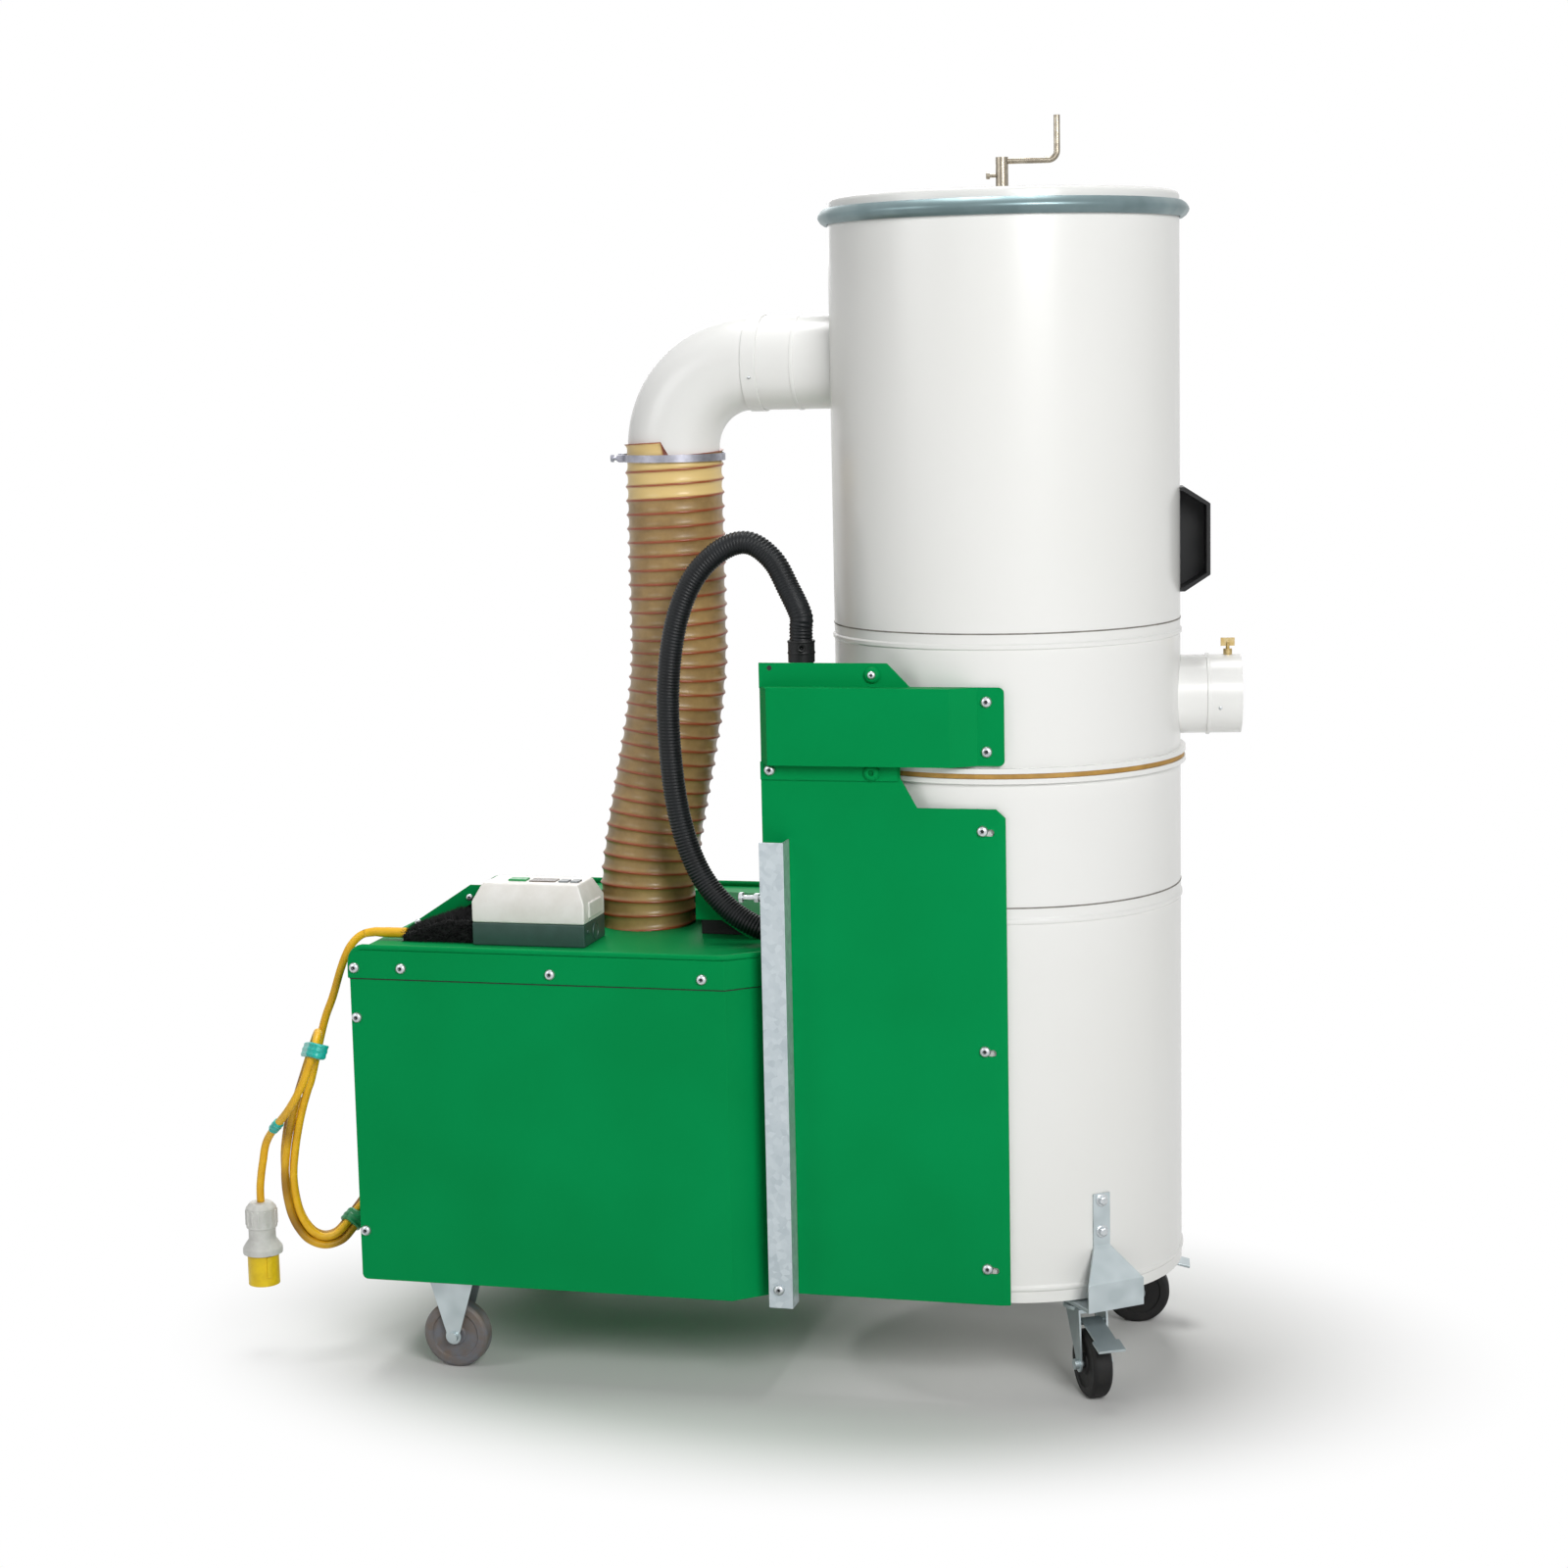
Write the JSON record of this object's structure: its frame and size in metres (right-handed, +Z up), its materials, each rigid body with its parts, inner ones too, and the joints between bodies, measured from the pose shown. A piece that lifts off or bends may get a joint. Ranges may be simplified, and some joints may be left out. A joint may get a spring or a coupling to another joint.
{
  "type": "mobile cyclone dust extractor",
  "caption": "Mobile cyclone dust extractor: a round filter tower with dust bin, side inlet and shaker crank, joined by a duct and hose to a fan case, on castors.",
  "frame": {"origin": "on the floor, at the centre of the footprint without the supply cord", "axes": "+Z up, -X towards the fan case, +X towards the tower and its inlet, -Y towards the front"},
  "size_m": [1.6322, 0.65, 1.995],
  "materials": {
    "tower_paint": "gloss",
    "frame_paint": "gloss",
    "zinc_plate": "satin",
    "seal_rubber": "matte",
    "black_rubber": "satin",
    "black_plastic": "satin",
    "hose_plastic": "satin",
    "foam_black": "matte",
    "control_grey": "satin",
    "control_white": "satin",
    "brass_screw": "satin",
    "wheel_grey": "satin",
    "cord_yellow": "satin",
    "plug_grey": "gloss",
    "plug_yellow": "gloss"
  },
  "bodies": {
    "unit": {"dust_bin": "tower_paint", "bin_floor": "tower_paint", "bin_seal": "seal_rubber", "inlet_section": "tower_paint", "inlet_pipe": "tower_paint", "inlet_screw": "brass_screw", "filter_housing": "tower_paint", "tower_lid": "tower_paint", "lid_clamp_ring": "zinc_plate", "crank_bush": "zinc_plate", "tower_handle": "black_plastic", "outlet_spigot": "tower_paint", "outlet_sleeve": "tower_paint", "outlet_elbow": "tower_paint", "hose_clamp": "zinc_plate", "suction_hose": "hose_plastic", "bypass_elbow": "black_rubber", "bypass_hose": "black_rubber", "bypass_spigot": "black_rubber", "front_side_plate": "frame_paint", "rear_side_plate": "frame_paint", "front_upper_bracket": "frame_paint", "rear_upper_bracket": "frame_paint", "front_angle": "zinc_plate", "rear_angle": "zinc_plate", "fan_case": "frame_paint", "fan_cover": "frame_paint", "exhaust_hood": "frame_paint", "exhaust_foam": "foam_black", "cable_brush": "foam_black", "control_base": "control_grey", "control_cover": "control_white", "front_castor_bracket": "zinc_plate", "rear_castor_bracket": "zinc_plate", "front_rigid_fork": "zinc_plate", "rear_rigid_fork": "zinc_plate", "cord_gland": "black_plastic", "cord_lead": "cord_yellow", "cord_hank": "cord_yellow", "cord_tail": "cord_yellow", "plug_body": "plug_grey", "plug_sleeve": "plug_yellow"},
    "crank": {"crank": "zinc_plate"},
    "front_swivel": {"front_swivel_fork": "zinc_plate"},
    "rear_swivel": {"rear_swivel_fork": "zinc_plate"},
    "front_tower_wheel": {"front_swivel_wheel": "black_rubber"},
    "rear_tower_wheel": {"rear_swivel_wheel": "black_rubber"},
    "front_pedal": {"front_brake_pedal": "black_plastic"},
    "rear_pedal": {"rear_brake_pedal": "black_plastic"},
    "front_fan_wheel": {"front_rigid_wheel": "wheel_grey"},
    "rear_fan_wheel": {"rear_rigid_wheel": "wheel_grey"}
  },
  "joints": [
    {"name": "crank_turn", "type": "hinge", "parent": "unit", "child": "crank", "pos_m": [0.32238, 0, 1.873], "axis": [0, 0, 1], "continuous": true},
    {"name": "front_castor_swivel", "type": "hinge", "parent": "unit", "child": "front_swivel", "pos_m": [0.46508, -0.17006, 0.13], "axis": [0, 0, 1], "continuous": true},
    {"name": "front_tower_wheel_spin", "type": "hinge", "parent": "front_swivel", "child": "front_tower_wheel", "pos_m": [0.48351, -0.2033, 0.054], "axis": [0.8746, 0.4848, 0], "continuous": true},
    {"name": "front_pedal_press", "type": "hinge", "parent": "front_swivel", "child": "front_pedal", "pos_m": [0.47963, -0.1963, 0.12], "axis": [0.8746, 0.4848, 0], "range_deg": [0, 12]},
    {"name": "front_fan_wheel_spin", "type": "hinge", "parent": "unit", "child": "front_fan_wheel", "pos_m": [-0.55762, -0.258, 0.055], "axis": [0, 1, 0], "continuous": true},
    {"name": "rear_castor_swivel", "type": "hinge", "parent": "unit", "child": "rear_swivel", "pos_m": [0.46508, 0.17006, 0.13], "axis": [0, 0, 1], "continuous": true},
    {"name": "rear_tower_wheel_spin", "type": "hinge", "parent": "rear_swivel", "child": "rear_tower_wheel", "pos_m": [0.50271, 0.17535, 0.054], "axis": [-0.1392, 0.9903, 0], "continuous": true},
    {"name": "rear_pedal_press", "type": "hinge", "parent": "rear_swivel", "child": "rear_pedal", "pos_m": [0.49479, 0.17424, 0.12], "axis": [-0.1392, 0.9903, 0], "range_deg": [0, 12]},
    {"name": "rear_fan_wheel_spin", "type": "hinge", "parent": "unit", "child": "rear_fan_wheel", "pos_m": [-0.55762, 0.258, 0.055], "axis": [0, 1, 0], "continuous": true}
  ]
}
